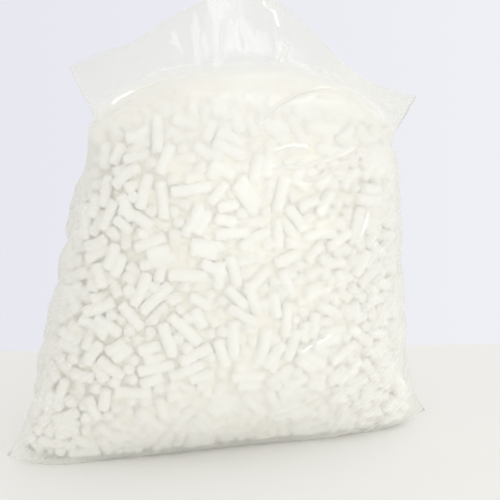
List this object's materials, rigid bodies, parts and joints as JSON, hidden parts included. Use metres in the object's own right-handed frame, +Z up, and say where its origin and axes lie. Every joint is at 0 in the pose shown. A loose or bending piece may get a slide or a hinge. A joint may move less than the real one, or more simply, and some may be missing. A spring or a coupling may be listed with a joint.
{
  "type": "packing peanut bag",
  "caption": "Clear film pillow bag standing on its base, filled with loose packing peanuts, its slack mouth standing up as a flap above the fill.",
  "frame": {"origin": "on the ground under the middle of the bag's box", "axes": "+Z up, +X across the bag to the right as seen from the front, and the front faces -Y"},
  "size_m": [0.564, 0.2782, 0.59],
  "materials": {
    "film": "gloss",
    "peanut": "matte"
  },
  "bodies": {
    "root": {"film_bag": "film", "peanut_fill": "peanut"}
  },
  "joints": []
}
